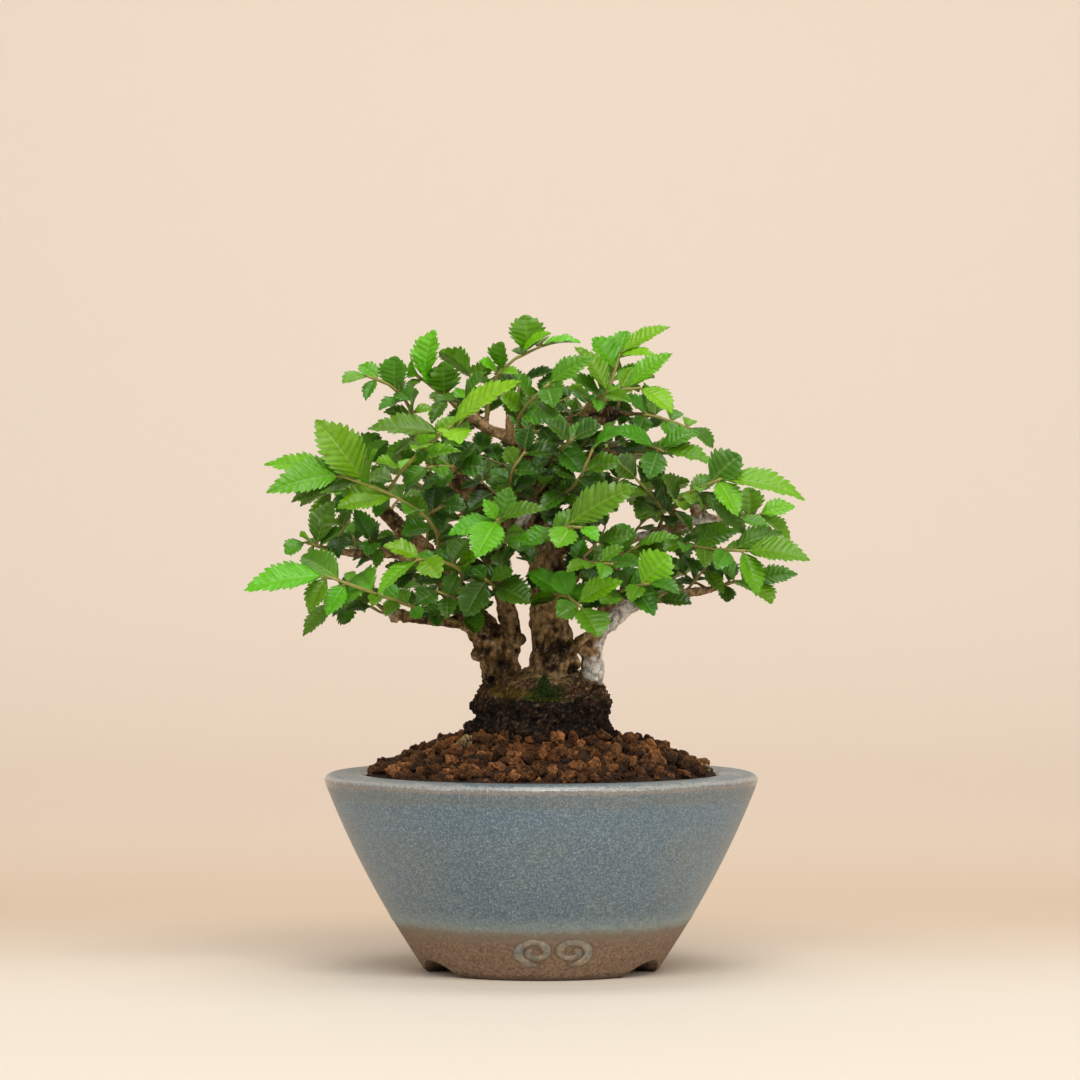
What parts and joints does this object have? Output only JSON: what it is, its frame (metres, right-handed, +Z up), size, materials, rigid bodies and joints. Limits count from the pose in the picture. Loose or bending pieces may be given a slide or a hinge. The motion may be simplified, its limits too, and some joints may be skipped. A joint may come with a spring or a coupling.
{
  "type": "mini bonsai",
  "caption": "Miniature elm bonsai with short gnarled trunks and small toothed leaves, growing in granules in a tapered round glazed pot.",
  "frame": {"origin": "centre of the bounding box's base, at the table", "axes": "+Z up; -Y towards the front, where the pot's scrolls are; +X to the right seen from the front"},
  "size_m": [0.141, 0.1103, 0.167],
  "materials": {
    "blue_grey_glaze": "gloss",
    "clay_granules": "matte",
    "pumice_gravel": "matte",
    "drain_net": "matte",
    "net_wire": "satin",
    "bark": "matte",
    "leaf": "satin"
  },
  "bodies": {
    "root": {"pot": "blue_grey_glaze", "soil": "clay_granules", "drainage_gravel": "pumice_gravel", "drain_net": "drain_net", "net_wire": "net_wire", "trunk_and_branches": "bark", "shoot_apex": "leaf", "shoot_back_far_left": "leaf", "shoot_back_far_right": "leaf", "shoot_back_left_low": "leaf", "shoot_back_left_tip": "leaf", "shoot_back_low_left": "leaf", "shoot_back_low_right": "leaf", "shoot_back_mid_right": "leaf", "shoot_back_mid_tip": "leaf", "shoot_back_right_tip": "leaf", "shoot_back_right_up": "leaf", "shoot_back_top_left": "leaf", "shoot_back_top_tip": "leaf", "shoot_back_upper_left": "leaf", "shoot_back_upper_right": "leaf", "shoot_bottom_centre": "leaf", "shoot_bottom_left_centre": "leaf", "shoot_bottom_right": "leaf", "shoot_centre_bright": "leaf", "shoot_centre_right_bright": "leaf", "shoot_crown_left": "leaf", "shoot_front_left_bright": "leaf", "shoot_front_low_tip": "leaf", "shoot_inner_left": "leaf", "shoot_inner_left_low": "leaf", "shoot_inner_mid": "leaf", "shoot_inner_right": "leaf", "shoot_inner_right_low": "leaf", "shoot_left_behind": "leaf", "shoot_left_big": "leaf", "shoot_left_bottom": "leaf", "shoot_left_dark": "leaf", "shoot_left_far": "leaf", "shoot_left_low_big": "leaf", "shoot_left_mid_bright": "leaf", "shoot_left_under": "leaf", "shoot_left_upper_back": "leaf", "shoot_right_big": "leaf", "shoot_right_bottom": "leaf", "shoot_right_centre": "leaf", "shoot_right_low_big": "leaf", "shoot_right_mid": "leaf", "shoot_right_top": "leaf", "shoot_right_upper_shoot": "leaf", "shoot_top_front": "leaf", "shoot_top_left_high": "leaf", "shoot_top_left_inner": "leaf", "shoot_top_left_low": "leaf", "shoot_top_right_bright": "leaf"}
  },
  "joints": []
}
